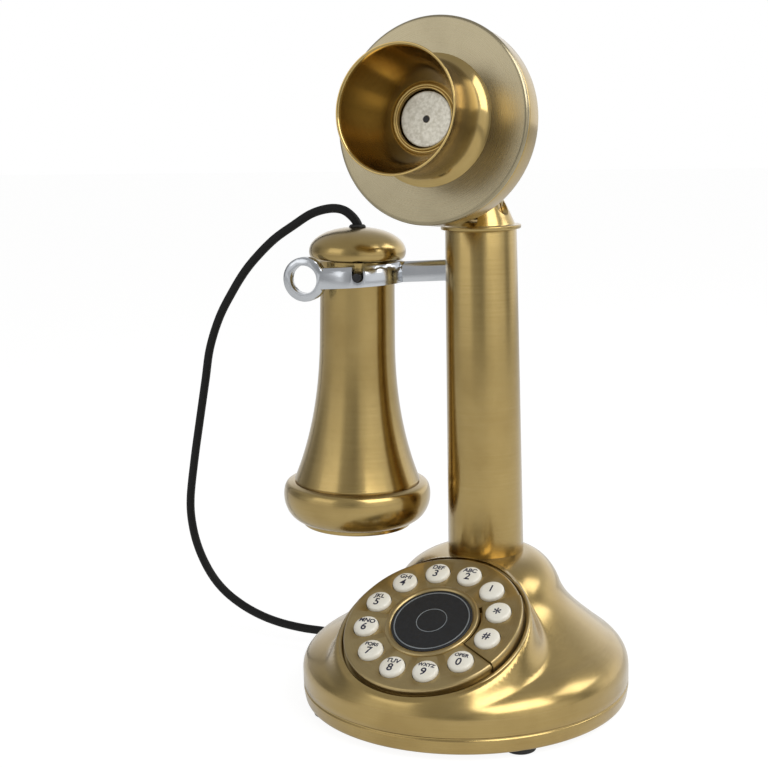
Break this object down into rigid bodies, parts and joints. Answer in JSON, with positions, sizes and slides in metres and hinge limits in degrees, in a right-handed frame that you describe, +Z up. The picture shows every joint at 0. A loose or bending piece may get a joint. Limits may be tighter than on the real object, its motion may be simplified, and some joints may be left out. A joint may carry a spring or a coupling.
{
  "type": "candlestick push-button telephone",
  "caption": "Candlestick desk telephone in satin brass: round bell base with tilted push-button dial, column, tilting mouthpiece, and a corded receiver hung on a switch hook.",
  "frame": {"origin": "on the axis of the column, at the level of the desk that the feet stand on", "axes": "+Z up along the column; the dial and mouthpiece face -Y; the receiver hangs on the -X side"},
  "size_m": [0.2416, 0.1482, 0.3036],
  "materials": {
    "satin_brass": "satin brushed antique brass",
    "chrome": "polished chrome plate",
    "steel": "zinc plated steel",
    "ivory_plastic": "glossy ivory white",
    "black_rubber": "black, slight sheen",
    "grey_rubber": "matt silicone",
    "black_plastic": "matt",
    "circuit_board": "solder mask",
    "badge_black": "fine texture",
    "bright_aluminium": "turned"
  },
  "bodies": {
    "base": {"base_plate": "satin_brass", "rubber_feet": "black_rubber", "base_screws": "steel", "ballast_weight": "steel", "base_housing": "satin_brass", "cord_grommet": "black_rubber", "line_jack": "black_plastic", "main_board": "circuit_board", "ringer": "black_plastic", "column_tube": "satin_brass", "column_plug": "steel", "column_bolt": "steel", "column_cap": "satin_brass", "tilt_screw": "satin_brass", "hook_carrier": "black_plastic", "hook_pin": "steel", "hook_spring": "steel", "hook_switch": "black_plastic", "dial_plate": "satin_brass", "dial_sector": "satin_brass", "dial_ring": "satin_brass", "dial_badge": "badge_black", "keypad_mat": "grey_rubber", "keypad_board": "circuit_board", "dial_screws": "steel", "receiver_cord": "black_rubber"},
    "hook": {"hook_lever": "chrome"},
    "transmitter": {"transmitter_cup": "satin_brass", "transmitter_face": "satin_brass", "mouthpiece": "satin_brass", "microphone": "black_plastic", "microphone_cover": "bright_aluminium"},
    "receiver": {"receiver_shell": "satin_brass", "receiver_cap": "satin_brass", "receiver_pegs": "black_rubber", "ear_ring": "satin_brass", "ear_disc": "black_plastic", "speaker": "black_plastic", "cord_sleeve": "black_rubber"},
    "key_1": {"key_1": "ivory_plastic"},
    "key_2": {"key_2": "ivory_plastic"},
    "key_3": {"key_3": "ivory_plastic"},
    "key_4": {"key_4": "ivory_plastic"},
    "key_5": {"key_5": "ivory_plastic"},
    "key_6": {"key_6": "ivory_plastic"},
    "key_7": {"key_7": "ivory_plastic"},
    "key_8": {"key_8": "ivory_plastic"},
    "key_9": {"key_9": "ivory_plastic"},
    "key_0": {"key_0": "ivory_plastic"},
    "key_hash": {"key_hash": "ivory_plastic"},
    "key_star": {"key_star": "ivory_plastic"}
  },
  "joints": [
    {"name": "receiver_lift", "type": "slide", "parent": "base", "child": "receiver", "axis": [0.0328, 0.0046, 0.9995], "range_m": [0, 0.03], "deforming": ["receiver_cord"]},
    {"name": "hook_pivot", "type": "hinge", "parent": "base", "child": "hook", "pos_m": [0.00495, 0.0007, 0.194], "axis": [-0.1392, 0.9903, 0], "range_deg": [0, 7], "stiffness_Nm_per_rad": 0.3, "springref_deg": 20.05, "deforming": ["hook_spring"]},
    {"name": "transmitter_tilt", "type": "hinge", "parent": "base", "child": "transmitter", "pos_m": [0, -0.002, 0.2222], "axis": [-1, 0, 0], "range_deg": [-12, 15]},
    {"name": "key_1_press", "type": "slide", "parent": "base", "child": "key_1", "axis": [0, 0.454, -0.891], "range_m": [0, 0.0012], "stiffness_N_per_m": 400, "springref_m": -0.001},
    {"name": "key_2_press", "type": "slide", "parent": "base", "child": "key_2", "axis": [0, 0.454, -0.891], "range_m": [0, 0.0012], "stiffness_N_per_m": 400, "springref_m": -0.001},
    {"name": "key_3_press", "type": "slide", "parent": "base", "child": "key_3", "axis": [0, 0.454, -0.891], "range_m": [0, 0.0012], "stiffness_N_per_m": 400, "springref_m": -0.001},
    {"name": "key_4_press", "type": "slide", "parent": "base", "child": "key_4", "axis": [0, 0.454, -0.891], "range_m": [0, 0.0012], "stiffness_N_per_m": 400, "springref_m": -0.001},
    {"name": "key_5_press", "type": "slide", "parent": "base", "child": "key_5", "axis": [0, 0.454, -0.891], "range_m": [0, 0.0012], "stiffness_N_per_m": 400, "springref_m": -0.001},
    {"name": "key_6_press", "type": "slide", "parent": "base", "child": "key_6", "axis": [0, 0.454, -0.891], "range_m": [0, 0.0012], "stiffness_N_per_m": 400, "springref_m": -0.001},
    {"name": "key_7_press", "type": "slide", "parent": "base", "child": "key_7", "axis": [0, 0.454, -0.891], "range_m": [0, 0.0012], "stiffness_N_per_m": 400, "springref_m": -0.001},
    {"name": "key_8_press", "type": "slide", "parent": "base", "child": "key_8", "axis": [0, 0.454, -0.891], "range_m": [0, 0.0012], "stiffness_N_per_m": 400, "springref_m": -0.001},
    {"name": "key_9_press", "type": "slide", "parent": "base", "child": "key_9", "axis": [0, 0.454, -0.891], "range_m": [0, 0.0012], "stiffness_N_per_m": 400, "springref_m": -0.001},
    {"name": "key_0_press", "type": "slide", "parent": "base", "child": "key_0", "axis": [0, 0.454, -0.891], "range_m": [0, 0.0012], "stiffness_N_per_m": 400, "springref_m": -0.001},
    {"name": "key_hash_press", "type": "slide", "parent": "base", "child": "key_hash", "axis": [0, 0.454, -0.891], "range_m": [0, 0.0012], "stiffness_N_per_m": 400, "springref_m": -0.001},
    {"name": "key_star_press", "type": "slide", "parent": "base", "child": "key_star", "axis": [0, 0.454, -0.891], "range_m": [0, 0.0012], "stiffness_N_per_m": 400, "springref_m": -0.001}
  ],
  "couplings": [
    {"joint": "hook_pivot", "follows": "receiver_lift", "rad_per_m": 4.07}
  ]
}
